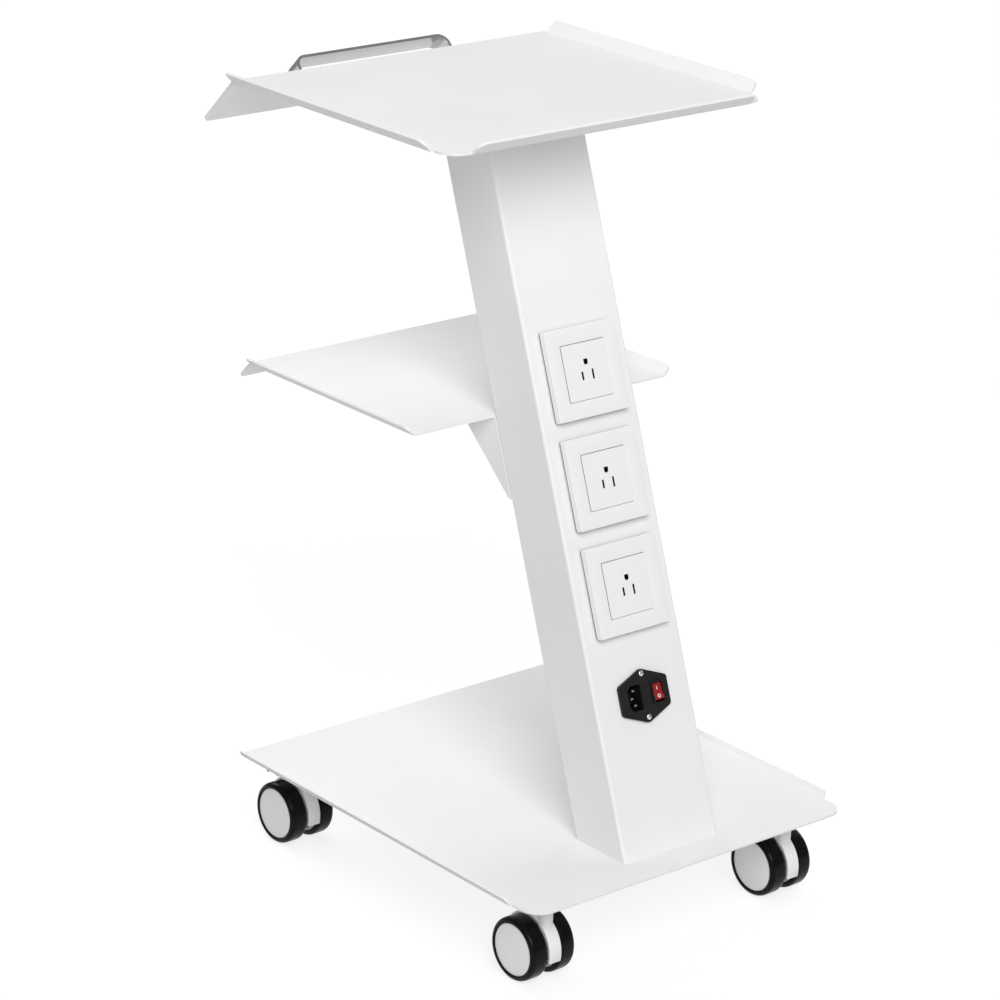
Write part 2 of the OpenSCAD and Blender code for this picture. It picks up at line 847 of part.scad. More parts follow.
module pedal(x, y) {
    seat = [cos(pedal_seat), sin(pedal_seat)] * pedal_seat_r;
    color([0.05, 0.05, 0.05]) on_caster(x, y)
        translate([0, trail + seat[0], wheel_r + seat[1]]) {
            rotate([pedal_angle, 0, 0]) translate([0, 0, 4]) {
                linear_extrude(pedal_t) translate([0, -pedal_back])
                    tab(2 * pedal_half, pedal_l + pedal_back, 5);
            }
            for (side = [-1, 1]) translate([side * 6, 0, 0]) rotate([90, 0, 90])
                linear_extrude(3, center = true) rotate(pedal_angle) {
                    circle(3.6);
                    translate([-3.6, 0]) square([7.2, 4.5]);
                }
            rotate([0, 90, 0]) cylinder(h = 14.4, r = pedal_pin_r, center = true);
        }
}

module caster_hood_fl() { hood(-1, y_swivel_front, false); }
module caster_hood_fr() { hood(1, y_swivel_front, false); }
module caster_hood_rl() { hood(-1, y_swivel_back, true); }
module caster_hood_rr() { hood(1, y_swivel_back, true); }
module axle_fl() { axle(-1, y_swivel_front); }
module axle_fr() { axle(1, y_swivel_front); }
module axle_rl() { axle(-1, y_swivel_back); }
module axle_rr() { axle(1, y_swivel_back); }
module hub_fl_l() { hub(-1, y_swivel_front, -1); }
module hub_fl_r() { hub(-1, y_swivel_front, 1); }
module hub_fr_l() { hub(1, y_swivel_front, -1); }
module hub_fr_r() { hub(1, y_swivel_front, 1); }
module hub_rl_l() { hub(-1, y_swivel_back, -1); }
module hub_rl_r() { hub(-1, y_swivel_back, 1); }
module hub_rr_l() { hub(1, y_swivel_back, -1); }
module hub_rr_r() { hub(1, y_swivel_back, 1); }
module tyre_fl_l() { tyre(-1, y_swivel_front, -1); }
module tyre_fl_r() { tyre(-1, y_swivel_front, 1); }
module tyre_fr_l() { tyre(1, y_swivel_front, -1); }
module tyre_fr_r() { tyre(1, y_swivel_front, 1); }
module tyre_rl_l() { tyre(-1, y_swivel_back, -1); }
module tyre_rl_r() { tyre(-1, y_swivel_back, 1); }
module tyre_rr_l() { tyre(1, y_swivel_back, -1); }
module tyre_rr_r() { tyre(1, y_swivel_back, 1); }
module brake_pedal_rl() { pedal(-1, y_swivel_back); }
module brake_pedal_rr() { pedal(1, y_swivel_back); }

base_plate();
column_shell();
column_foot_plate();
column_head_plate();
foot_bolts();
weld_studs();
stud_nuts();
top_shelf();
handle();
handle_screws();
middle_shelf();
shelf_gusset();
gusset_rivets();
outlet_frame_top();
outlet_frame_middle();
outlet_frame_bottom();
outlet_module_top();
outlet_module_middle();
outlet_module_bottom();
outlet_contacts();
outlet_screws();
inlet_body();
inlet_pins();
inlet_screws();
fuse_drawer();
fuse();
switch_housing();
switch_rocker();
supply_wires();
caster_bosses();
caster_stems();
caster_hood_fl();
caster_hood_fr();
caster_hood_rl();
caster_hood_rr();
axle_fl();
axle_fr();
axle_rl();
axle_rr();
hub_fl_l();
hub_fl_r();
hub_fr_l();
hub_fr_r();
hub_rl_l();
hub_rl_r();
hub_rr_l();
hub_rr_r();
tyre_fl_l();
tyre_fl_r();
tyre_fr_l();
tyre_fr_r();
tyre_rl_l();
tyre_rl_r();
tyre_rr_l();
tyre_rr_r();
brake_pedal_rl();
brake_pedal_rr();
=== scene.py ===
"""Looks of the rolling salon trolley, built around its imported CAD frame. Metres, +Z up."""

import json
import math

import bmesh
import bpy
from mathutils import Matrix, Vector


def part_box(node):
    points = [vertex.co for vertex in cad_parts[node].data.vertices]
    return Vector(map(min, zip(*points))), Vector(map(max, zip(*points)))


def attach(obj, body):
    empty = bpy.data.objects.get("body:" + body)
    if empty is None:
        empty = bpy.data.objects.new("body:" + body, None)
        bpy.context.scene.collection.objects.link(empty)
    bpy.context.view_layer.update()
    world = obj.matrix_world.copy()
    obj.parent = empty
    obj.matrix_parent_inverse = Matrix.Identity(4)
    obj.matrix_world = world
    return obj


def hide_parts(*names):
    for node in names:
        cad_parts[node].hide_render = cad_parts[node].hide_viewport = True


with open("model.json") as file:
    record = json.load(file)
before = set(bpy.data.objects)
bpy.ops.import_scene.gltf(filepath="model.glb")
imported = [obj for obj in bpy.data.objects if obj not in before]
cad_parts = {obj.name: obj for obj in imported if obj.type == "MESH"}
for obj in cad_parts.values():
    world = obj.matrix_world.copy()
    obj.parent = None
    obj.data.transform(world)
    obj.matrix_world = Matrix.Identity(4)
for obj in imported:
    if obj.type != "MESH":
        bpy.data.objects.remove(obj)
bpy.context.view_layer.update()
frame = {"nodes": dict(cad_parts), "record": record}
MM = 0.001
LEAN = math.radians(20)
LEVELS = ("top", "middle", "bottom")

# ---------------------------------------------------------------- camera, light, floor

CAMERA_PLACE = (-2.23576, -2.58035, 1.62270)
CAMERA_YAW, CAMERA_PITCH, CAMERA_ROLL = (math.radians(a) for a in (-40.53, -20.13, 2.03))
LENS, SENSOR = 136.2, 36
VIEW_END = 50
# Strength of the light from all round, and how bright the backdrop looks
AMBIENT, BACKDROP = 0.31, 0.95
LIGHTS_AIM = (0, 0, 0.4)
# Name, place, diameter in metres and power in watts of each soft light
LIGHTS = (("front", (-2.4, -3.9, 3.9), 4.0, 252),
          ("back", (0.5, 4.2, 3.9), 4.0, 114),
          ("right", (4.9, 1.0, 2.8), 3.6, 60))
FLOOR_HALF = 6
FLOOR_LOW, FLOOR_HIGH = (0.26, 0.26, 0.26), (0.27, 0.27, 0.27)
FLOOR_GLOW = 0.78
FLOOR_BOUNCE = (0.48, 0.48, 0.48)


def make_camera():
    forward = Vector((-math.sin(CAMERA_YAW) * math.cos(CAMERA_PITCH),
                      math.cos(CAMERA_YAW) * math.cos(CAMERA_PITCH),
                      math.sin(CAMERA_PITCH)))
    right = Vector((math.cos(CAMERA_YAW), math.sin(CAMERA_YAW), 0))
    up = right.cross(forward)
    tilted_right = math.cos(CAMERA_ROLL) * right + math.sin(CAMERA_ROLL) * up
    tilted_up = math.cos(CAMERA_ROLL) * up - math.sin(CAMERA_ROLL) * right
    data = bpy.data.cameras.new("camera")
    data.lens = LENS
    data.sensor_width = SENSOR
    data.clip_end = VIEW_END
    cam = bpy.data.objects.new("camera", data)
    bpy.context.scene.collection.objects.link(cam)
    axes = Matrix((tilted_right, tilted_up, -forward)).transposed()
    cam.matrix_world = Matrix.Translation(CAMERA_PLACE) @ axes.to_4x4()
    bpy.context.scene.camera = cam


def make_lights():
    for name, place, size, power in LIGHTS:
        data = bpy.data.lights.new(name, "AREA")
        data.shape = "DISK"
        data.size = size
        data.energy = power
        light = bpy.data.objects.new(name, data)
        bpy.context.scene.collection.objects.link(light)
        light.location = place
        light.rotation_mode = "QUATERNION"
        light.rotation_quaternion = (Vector(LIGHTS_AIM) - Vector(place)).to_track_quat("-Z", "Y")


def make_world():
    world = bpy.data.worlds.new("studio")
    world.use_nodes = True
    tree = world.node_tree
    background = tree.nodes["Background"]
    background.inputs["Color"].default_value = (1, 1, 1, 1)
    seen = tree.nodes.new("ShaderNodeLightPath").outputs["Is Camera Ray"]
    strength = tree.nodes.new("ShaderNodeMapRange")
    strength.inputs["To Min"].default_value = AMBIENT
    strength.inputs["To Max"].default_value = BACKDROP
    tree.links.new(seen, strength.inputs["Value"])
    tree.links.new(strength.outputs["Result"], background.inputs["Strength"])
    scene = bpy.context.scene
    scene.world = world
    scene.view_settings.view_transform = "Standard"
    scene.view_settings.look = "None"


def floor_material():
    """White studio floor: nearly evenly bright to the eye, a mid grey to the light that bounces."""
    n = Nodes("floor")
    cloud = n.range(n.noise(3), 0.4, 0.6)
    bounced = n.tree.nodes.new("ShaderNodeLightPath").outputs["Is Diffuse Ray"]
    n.set(Base_Color=n.mix(bounced, n.mix(cloud, FLOOR_LOW, FLOOR_HIGH), FLOOR_BOUNCE),
          Roughness=0.8, Specular_IOR_Level=0.0, Emission_Color=(1, 1, 1, 1),
          Emission_Strength=n.range(bounced, 0, 1, FLOOR_GLOW, 0))
    return n.material


def make_floor():
    bm = bmesh.new()
    for x, y in ((-1, -1), (1, -1), (1, 1), (-1, 1)):
        bm.verts.new((x * FLOOR_HALF, y * FLOOR_HALF, 0))
    bm.faces.new(bm.verts)
    mesh = bpy.data.meshes.new("floor")
    bm.to_mesh(mesh)
    bm.free()
    mesh.materials.append(floor_material())
    obj = bpy.data.objects.new("floor", mesh)
    bpy.context.scene.collection.objects.link(obj)


# ---------------------------------------------------------------- node materials


class Nodes:
    """A node tree being written: short calls for the few node kinds used here."""

    def __init__(self, name):
        self.material = bpy.data.materials.new(name)
        self.material.use_nodes = True
        self.tree = self.material.node_tree
        self.shader = self.tree.nodes["Principled BSDF"]
        self.coords = self.tree.nodes.new("ShaderNodeTexCoord").outputs["Object"]

    def put(self, value, socket):
        """Links an output socket, or stores a plain value."""
        if isinstance(value, bpy.types.NodeSocket):
            self.tree.links.new(value, socket)
        else:
            socket.default_value = value

    def set(self, **values):
        for key, value in values.items():
            self.put(value, self.shader.inputs[key.replace("_", " ")])

    def stretched(self, scale):
        node = self.tree.nodes.new("ShaderNodeMapping")
        node.inputs["Scale"].default_value = scale
        self.tree.links.new(self.coords, node.inputs["Vector"])
        return node.outputs["Vector"]

    def noise(self, scale, detail=3, roughness=0.5, vector=None):
        node = self.tree.nodes.new("ShaderNodeTexNoise")
        node.inputs["Scale"].default_value = scale
        node.inputs["Detail"].default_value = detail
        node.inputs["Roughness"].default_value = roughness
        self.tree.links.new(vector or self.coords, node.inputs["Vector"])
        return node.outputs["Fac"]

    def vector_math(self, kind, other):
        node = self.tree.nodes.new("ShaderNodeVectorMath")
        node.operation = kind
        node.inputs[1].default_value = other
        self.tree.links.new(self.coords, node.inputs[0])
        return node.outputs["Value"]

    def dot(self, direction):
        """How far a point lies along a direction."""
        return self.vector_math("DOT_PRODUCT", direction)

    def distance(self, place):
        """How far a point lies from a place."""
        return self.vector_math("DISTANCE", place)

    def range(self, value, low, high, to_low=0, to_high=1):
        node = self.tree.nodes.new("ShaderNodeMapRange")
        numbers = {"From Min": low, "From Max": high, "To Min": to_low, "To Max": to_high}
        for key, number in numbers.items():
            node.inputs[key].default_value = number
        self.tree.links.new(value, node.inputs["Value"])
        return node.outputs["Result"]

    def math(self, kind, a, b):
        node = self.tree.nodes.new("ShaderNodeMath")
        node.operation = kind
        self.put(a, node.inputs[0])
        self.put(b, node.inputs[1])
        return node.outputs["Value"]

    def mix(self, factor, a, b):
        node = self.tree.nodes.new("ShaderNodeMix")
        node.data_type = "RGBA"
        self.tree.links.new(factor, node.inputs["Factor"])
        colors = [s for s in node.inputs if s.type == "RGBA"]
        for socket, value in zip(colors, (a, b)):
            self.put((*value, 1) if isinstance(value, tuple) else value, socket)
        return next(s for s in node.outputs if s.type == "RGBA")

    def bump(self, height, deep, strength, below=None):
        """A relief of a height, deep mm from lowest to highest, over the one below."""
        node = self.tree.nodes.new("ShaderNodeBump")
        node.inputs["Distance"].default_value = deep * MM
        node.inputs["Strength"].default_value = strength
        self.tree.links.new(height, node.inputs["Height"])
        if below is not None:
            self.tree.links.new(below, node.inputs["Normal"])
        return node.outputs["Normal"]

    def darkened(self, tone, pit, color):
        """A tone that turns into a dark color along a direction: painted shade for the deep part of
        a gap; pit is (direction, start, end).
        """
        inward, start, end = pit
        return self.mix(self.range(self.dot(inward), start, end), tone, color)


PAINT_COOL, PAINT_WARM = (0.845, 0.85, 0.855), (0.865, 0.865, 0.865)
PAINT_RUBBED = (0.79, 0.79, 0.785)
PAINT_ROUGH = (0.42, 0.48)
PAINT_SPECULAR = 0.18
RUBBER, RUBBER_DUST = (0.004, 0.004, 0.0042), (0.05, 0.049, 0.047)
RUBBER_ROUGH = (0.2, 0.28)
RUBBER_SPECULAR = 0.1
OUTLET_WHITE, OUTLET_SCUFF = (0.87, 0.87, 0.865), (0.8, 0.8, 0.79)
# Painted shade for the bottoms of gaps in steel, in plastic and in the outlets' openings
STEEL_PAINTED_SHADE, PLASTIC_PAINTED_SHADE, OPENING_PAINTED_SHADE = (0.01,) * 3, (0.004,) * 3, (0.002,) * 3
# How far around an outlet's middle its openings and their painted shade lie, and the soft edge of
# that reach, in mm
OPENINGS_REACH, OPENINGS_EDGE = 16, 0.5


def white_paint():
    """Powder coat: a fine orange peel, faint cloudiness and a few soft rub marks."""
    n = Nodes("white_paint")
    cloud = n.noise(9, 4)
    rub = n.noise(46, 5, 0.6, n.stretched((1, 2.6, 1.4)))
    base = n.mix(n.range(cloud, 0.35, 0.65), PAINT_COOL, PAINT_WARM)
    color = n.mix(n.range(rub, 0.66, 0.78, 0, 0.35), base, PAINT_RUBBED)
    rough = n.math("ADD", n.range(cloud, 0.3, 0.7, *PAINT_ROUGH), n.range(rub, 0.6, 0.8, 0, 0.12))
    peel = n.bump(n.noise(620, 2, 0.45), 0.06, 0.5)
    grain = n.bump(n.noise(2600, 2), 0.01, 0.4, peel)
    n.set(Base_Color=color, Roughness=rough, Specular_IOR_Level=PAINT_SPECULAR, Normal=grain)
    return n.material


def steel(name, color, rough, streaks, pit=None, mottled=0.88):
    """Drawn or plated steel: fine streaks over a little mottling. streaks says how often they
    change along X, Y and Z, and mottled how dark the mottling gets. pit is as in Nodes.darkened:
    painted shade deep in a gap."""
    n = Nodes(name)
    streak = n.noise(1, 4, 0.65, n.stretched(streaks))
    mottle = n.noise(70, 4)
    tone = n.mix(n.range(mottle, 0.3, 0.7), tuple(mottled * c for c in color), color)
    tone = n.mix(n.range(streak, 0.35, 0.75, 0, 0.5), tone, tuple(0.8 * c for c in color))
    # Painted shade: the steel turns dark deep in a gap
    if pit:
        tone = n.darkened(tone, pit, STEEL_PAINTED_SHADE)
    rough = n.math("ADD", n.range(streak, 0.3, 0.7, *rough), n.range(mottle, 0.3, 0.7, 0, 0.06))
    n.set(Base_Color=tone, Metallic=1.0, Roughness=rough, Normal=n.bump(streak, 0.02, 0.6))
    return n.material


def plastic(name, color, rough, grain=1800, relief=0.02, scuff=(0.5, 0.5, 0.5), marks=0.12,
            uneven=0.15, specular=0.5, pit=None, holes=None):
    """Moulded plastic: a fine grain with a relief in mm, an uneven sheen and light scuffs. pit, as
    in Nodes.darkened, paints shade at the bottom of a narrow gap. holes is (place, pit): painted
    shade inside the openings around a place."""
    n = Nodes(name)
    sheen = n.noise(60, 4)
    scuffs = n.noise(1, 5, 0.65, n.stretched((240, 120, 170)))
    tone = n.mix(n.range(scuffs, 0.64, 0.8, 0, marks), color, scuff)
    # Painted shade: the plastic turns dark at the bottom of a narrow gap
    if pit:
        tone = n.darkened(tone, pit, PLASTIC_PAINTED_SHADE)
    # Painted shade: black inside the openings around a place, by depth
    if holes:
        place, (inward, start, end) = holes
        around = n.range(n.distance(place), OPENINGS_REACH * MM,
                         (OPENINGS_REACH + OPENINGS_EDGE) * MM, 1, 0)
        deep = n.math("MULTIPLY", n.range(n.dot(inward), start, end), around)
        tone = n.mix(deep, tone, OPENING_PAINTED_SHADE)
    rough = n.math("ADD", n.range(sheen, 0.3, 0.7, *rough), n.range(scuffs, 0.6, 0.8, 0, uneven))
    n.set(Base_Color=tone, Roughness=rough, Specular_IOR_Level=specular,
          Normal=n.bump(n.noise(grain, 2), relief, 0.5))
    return n.material


def depth(start, end):
    """Two depths in mm behind the column's front face, as a direction and distances along it."""
    inward = Vector((0, math.cos(LEAN), -math.sin(LEAN)))
    face = COLUMN.translation.dot(inward)
    return inward, face + start * MM, face + end * MM


def outlet_plastic(name, pit, holes=None):
    return plastic(name, OUTLET_WHITE, (0.29, 0.31), grain=1500, relief=0.01, scuff=OUTLET_SCUFF,
                   marks=0.1, uneven=0, pit=pit, holes=holes)


def outlet_module_plastic(level):
    """An outlet's inner square: white outside, with painted shade that turns it black inside its
    openings and in the gap to the frame.
    """
    low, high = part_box(f"outlet_frame_{level}")
    # Painted shade: black where the module lies less than 8 mm in front of the column's face, and
    # inside the openings
    return outlet_plastic(f"outlet_module_plastic_{level}", depth(-8.5, -8.0),
                          ((low + high) / 2, depth(-8.66, -8.58)))


def rubber():
    """Tyre rubber: nearly black, polished where it rolls, with dust in the fine pits."""
    n = Nodes("tyre_rubber")
    pits = n.noise(900)
    dust = n.noise(120, 5, 0.6)
    color = n.mix(n.range(dust, 0.6, 0.85, 0, 0.12), RUBBER, RUBBER_DUST)
    rough = n.math("ADD", n.range(pits, 0.3, 0.7, *RUBBER_ROUGH), n.range(dust, 0.55, 0.8, 0, 0.2))
    n.set(Base_Color=color, Roughness=rough, Specular_IOR_Level=RUBBER_SPECULAR,
          Normal=n.bump(pits, 0.02, 0.4))
    return n.material


def glass():
    n = Nodes("fuse_glass")
    n.set(Base_Color=(0.9, 0.95, 0.94, 1), Roughness=n.range(n.noise(300), 0.3, 0.7, 0.03, 0.08),
          Transmission_Weight=0.8, IOR=1.5)
    return n.material


def make_materials():
    return {
        "white_paint": white_paint(),
        "zinc_steel": steel("zinc_steel", (0.60, 0.61, 0.63), (0.28, 0.42), (300, 300, 50)),
        "satin_steel": steel("satin_steel", (0.58, 0.58, 0.58), (0.18, 0.22), (30, 1500, 1500),
                             mottled=0.96),
        # Painted shade of the gap behind the cover frames: they turn black within 1.9 mm of the
        # column's face
        "outlet_plastic": outlet_plastic("outlet_plastic", depth(-2.4, -1.9)),
        "contact_brass": steel("contact_brass", (0.78, 0.56, 0.24), (0.25, 0.35), (700, 140, 700)),
        "black_plastic": plastic("black_plastic", (0.007, 0.007, 0.007), (0.34, 0.44), grain=2200,
                                 relief=0.03, scuff=(0.05, 0.05, 0.05), marks=0.1,
                                 specular=0.3),
        # Painted shade deep in the inlet: the pins and the screws turn black within 0.6 mm of the
        # column's face
        "bright_pin": steel("bright_pin", (0.82, 0.83, 0.85), (0.12, 0.2), (270, 270, 900),
                            pit=depth(-1.2, -0.6)),
        "fuse_glass": glass(),
        "red_rocker": plastic("red_rocker", (0.30, 0.009, 0.009), (0.2, 0.28), grain=2000,
                              relief=0.01, scuff=(0.6, 0.2, 0.2), marks=0.1),
        "wire_sheath": plastic("wire_sheath", (0.2, 0.2, 0.21), (0.35, 0.5)),
        "hood_plastic": plastic("hood_plastic", (0.88, 0.88, 0.87), (0.3, 0.4), grain=1500,
                                scuff=(0.7, 0.7, 0.68), marks=0.06),
        "hub_plastic": plastic("hub_plastic", (0.86, 0.87, 0.85), (0.3, 0.4), grain=1500,
                               scuff=(0.6, 0.6, 0.58), marks=0.08),
        "tyre_rubber": rubber(),
        "mark_white": plastic("mark_white", (0.82, 0.82, 0.81), (0.3, 0.4)),
    }


# ---------------------------------------------------------------- mesh code

SMOOTH_ANGLE = math.radians(35)
CORNER_STEPS = 6
# Points closer than this are one, and edges shorter than this go, in metres
SAME_POINT, NO_EDGE = 1e-7, 1e-8


def new_piece(name, bm, material):
    bmesh.ops.recalc_face_normals(bm, faces=bm.faces)
    mesh = bpy.data.meshes.new(name)
    bm.to_mesh(mesh)
    bm.free()
    mesh.materials.append(MATERIALS[material])
    mesh.shade_smooth()
    mesh.set_sharp_from_angle(angle=SMOOTH_ANGLE)
    obj = bpy.data.objects.new(name, mesh)
    bpy.context.scene.collection.objects.link(obj)
    return obj


def loft(bm, loops, closed=False):
    """Quads between loops of equally many points; closed joins the last loop to the first."""
    rings = [[bm.verts.new(p) for p in loop] for loop in loops]
    pairs = list(zip(rings, rings[1:])) + ([(rings[-1], rings[0])] if closed else [])
    for a, b in pairs:
        for i in range(len(a)):
            j = (i + 1) % len(a)
            bm.faces.new((a[i], a[j], b[j], b[i]))
    return rings


def capped(bm, loops):
    """Quads between loops, with a face over the first loop and one over the last."""
    rings = loft(bm, loops)
    bm.faces.new(rings[0])
    bm.faces.new(rings[-1])


def rounded_square(half, r, y):
    """Square with round corners in the XZ plane at depth y, in metres from millimetres."""
    points = []
    for cx, cz, start in ((1, 1, 0), (-1, 1, 90), (-1, -1, 180), (1, -1, 270)):
        for k in range(CORNER_STEPS + 1):
            a = math.radians(start + 90 * k / CORNER_STEPS)
            points.append(Vector((cx * (half - r) + r * math.cos(a), y,
                                  cz * (half - r) + r * math.sin(a))) * MM)
    return points


def circle_points(r, count=32):
    angles = [2 * math.pi * k / count for k in range(count)]
    return [(r * math.cos(a), r * math.sin(a)) for a in angles]


def revolve(bm, profile, matrix, segments=96):
    """Closed profile of (radius, height) in mm turned about Z, then placed; radius 0 is a pole."""
    rings = []
    for k in range(segments):
        a = 2 * math.pi * k / segments
        points = [Vector((r * math.cos(a), r * math.sin(a), z)) * MM for r, z in profile]
        rings.append([bm.verts.new(matrix @ p) for p in points])
    for k in range(segments):
        a, b = rings[k], rings[(k + 1) % segments]
        for i in range(len(profile)):
            j = (i + 1) % len(profile)
            bm.faces.new((a[i], a[j], b[j], b[i]))
    bmesh.ops.remove_doubles(bm, verts=bm.verts, dist=SAME_POINT)
    bmesh.ops.dissolve_degenerate(bm, dist=NO_EDGE, edges=bm.edges)


# ---------------------------------------------------------------- CAD nodes that stay

# Width in mm of the broken edges, and the smallest angle of an edge that gets one
EDGE_WIDTH, MODULE_EDGE_WIDTH = 0.3, 0.15
EDGE_ANGLE = math.radians(30)
# Faces that turn by less than this become one before the edges are broken
FLAT_ANGLE = math.radians(0.4)
WELD_DISTANCE = 2e-6


def dress_cad():
    """Every CAD node gets its slot's node material and softly broken edges."""
    for name, node in frame["nodes"].items():
        for slot in node.material_slots:
            wanted = slot.material.name if slot.material else ""
            found = next((k for k in MATERIALS if wanted.startswith(k)), None)
            if found:
                slot.material = MATERIALS[found]
        weld = node.modifiers.new("weld", "WELD")
        weld.merge_threshold = WELD_DISTANCE
        flat = node.modifiers.new("flat", "DECIMATE")
        flat.decimate_type = "DISSOLVE"
        flat.angle_limit = FLAT_ANGLE
        width = MODULE_EDGE_WIDTH if name.startswith("outlet_module") else EDGE_WIDTH
        bevel = node.modifiers.new("edge", "BEVEL")
        bevel.width = width * MM
        bevel.segments = 2
        bevel.limit_method = "ANGLE"
        bevel.angle_limit = EDGE_ANGLE
        bevel.use_clamp_overlap = True
        bevel.harden_normals = True
        node.modifiers.new("shade", "WEIGHTED_NORMAL")


def dress_outlet_modules():
    for level in LEVELS:
        material = outlet_module_plastic(level)
        for slot in frame["nodes"][f"outlet_module_{level}"].material_slots:
            slot.material = material


# ---------------------------------------------------------------- casters

CASTERS = ("fl", "fr", "rl", "rr")
BRAKED = ("rl", "rr")
# How far the axle stands behind the stem, in mm
TRAIL = 16
# Profiles of (radius, distance from the wheel's inner face)
TYRE = ((25.5, 0.4), (25.9, 0.05), (26.6, 0.0), (28.6, 0.0), (29.8, 0.4), (30.6, 1.2),
        (30.92, 2.4), (31.0, 4.5), (31.0, 13.4), (30.9, 14.7), (30.55, 15.9), (29.9, 17.0),
        (28.9, 17.85), (27.7, 18.35), (26.7, 18.5), (26.0, 18.42), (25.65, 18.15), (25.5, 17.7))
HUB = ((0.0, 17.9), (12.0, 17.85), (20.0, 17.7), (24.3, 17.55), (25.0, 17.4), (25.4, 17.0),
       (25.5, 16.2), (25.5, 0.3), (25.2, 0.0), (23.4, 0.0), (23.1, 0.3), (23.1, 15.7), (8.1, 15.9),
       (7.9, 15.5), (7.9, 0.2), (7.7, 0.0), (3.25, 0.0), (3.05, 0.2), (3.05, 15.9), (0.0, 15.9))


def wheel_matrix(code, side):
    """Where a wheel's profile stands: on the wheel's inner face, turned outwards."""
    low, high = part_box(f"tyre_{code}_{side}")
    middle = (low + high) / 2
    sign = -1 if side == "l" else 1
    inner = high.x if side == "l" else low.x
    place = Matrix.Translation((inner, middle.y, middle.z))
    return place @ Matrix.Rotation(sign * math.pi / 2, 4, "Y")


def make_wheels():
    for code in CASTERS:
        for side in ("l", "r"):
            place = wheel_matrix(code, side)
            for part, profile, slot in (("tyre", TYRE, "tyre_rubber"), ("hub", HUB, "hub_plastic")):
                bm = bmesh.new()
                revolve(bm, profile, place)
                piece = new_piece(f"{part}_{code}_{side}_look", bm, slot)
                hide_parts(f"{part}_{code}_{side}")
                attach(piece, f"wheel_{code}_{side}")


# Sections of (radius from the axle, distance across) of the strip over the wheels and of its ends
HOOD_STRIP = ((30.0, 6.4), (30.2, 6.8), (30.6, 7.0), (32.0, 7.0), (32.5, 6.85), (32.87, 6.4),
              (33.0, 5.8), (33.0, -5.8), (32.87, -6.4), (32.5, -6.85), (32.0, -7.0), (30.6, -7.0),
              (30.2, -6.8), (30.0, -6.4))
HOOD_END = ((30.5, 6.2), (30.6, 6.3), (30.8, 6.4), (31.8, 6.4), (32.1, 6.3), (32.3, 6.1),
            (32.4, 5.7), (32.4, -5.7), (32.3, -6.1), (32.1, -6.3), (31.8, -6.4), (30.8, -6.4),
            (30.6, -6.3), (30.5, -6.2))
# Where the strip starts and ends around the axle, in degrees from +Y, and its full section
HOOD_START, HOOD_STOP = 30.0, 194.0
FULL_START, FULL_STOP = 31.1, 192.9
ARC_STEP = 3
# The web between strip and axle: its half thickness, inner point, outer radius and angles
WEB_HALF = 2.5
WEB_INNER = (4, 110)
WEB_R = 30.4
WEB_START, WEB_STOP = 33, 190
# The boss around the axle, as (radius, distance across)
HOOD_HUB = ((3.02, 6.8), (3.2, 7.0), (6.5, 7.0), (7.0, 6.5), (7.0, -6.5), (6.5, -7.0),
            (3.2, -7.0), (3.02, -6.8))
# The stem's socket, as (radius, height above the floor)
SOCKET = ((0.0, 38.0), (6.4, 38.0), (7.0, 38.6), (7.0, 69.2), (6.9, 69.7), (6.5, 70.0),
          (4.3, 70.0), (4.06, 69.7), (4.06, 44.0), (0.0, 44.0))
# The brake pedal's seat on the strip: the pin's eye, and the arm that carries it
SEAT_ANGLE = 58
SEAT_PIN_R, SEAT_ARM_R = 37.5, 33.7
SEAT_PIN = ((2.06, 3.3), (2.2, 3.5), (3.3, 3.5), (3.6, 3.2), (3.6, -3.2), (3.3, -3.5),
            (2.2, -3.5), (2.06, -3.3))
SEAT_ARM = ((0.0, 3.3), (3.2, 3.3), (3.5, 3.0), (3.5, -3.0), (3.2, -3.3), (0.0, -3.3))


def around_axle(r, angle, x):
    a = math.radians(angle)
    return Vector((x, r * math.cos(a), r * math.sin(a))) * MM


def hood_arc(first, last):
    count = round((last - first) / ARC_STEP)
    return [first + (last - first) * k / count for k in range(count + 1)]


def make_hoods():
    """Rounded strip over both wheels, a web and a boss between them, and the stem's socket."""
    across = Matrix.Rotation(math.pi / 2, 4, "Y")
    for code in CASTERS:
        low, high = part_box(f"axle_{code}")
        axle = (low + high) / 2
        bm = bmesh.new()
        loops = [[around_axle(r, HOOD_START, x) for r, x in HOOD_END]]
        loops += [[around_axle(r, a, x) for r, x in HOOD_STRIP]
                  for a in hood_arc(FULL_START, FULL_STOP)]
        loops += [[around_axle(r, HOOD_STOP, x) for r, x in HOOD_END]]
        capped(bm, loops)
        fan = [around_axle(*WEB_INNER, 0)]
        fan += [around_axle(WEB_R, a, 0) for a in hood_arc(WEB_START, WEB_STOP)]
        capped(bm, [[p + Vector((x * MM, 0, 0)) for p in fan] for x in (-WEB_HALF, WEB_HALF)])
        revolve(bm, HOOD_HUB, across, 48)
        if code in BRAKED:
            for profile, r in ((SEAT_PIN, SEAT_PIN_R), (SEAT_ARM, SEAT_ARM_R)):
                seat = Matrix.Translation(around_axle(r, SEAT_ANGLE, 0))
                revolve(bm, profile, seat @ across, 32)
        bm.transform(Matrix.Translation(axle))
        revolve(bm, SOCKET, Matrix.Translation((axle.x, axle.y - TRAIL * MM, 0)), 64)
        piece = new_piece(f"caster_hood_{code}_look", bm, "hood_plastic")
        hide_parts(f"caster_hood_{code}")
        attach(piece, f"swivel_{code}")


# ---------------------------------------------------------------- outlets

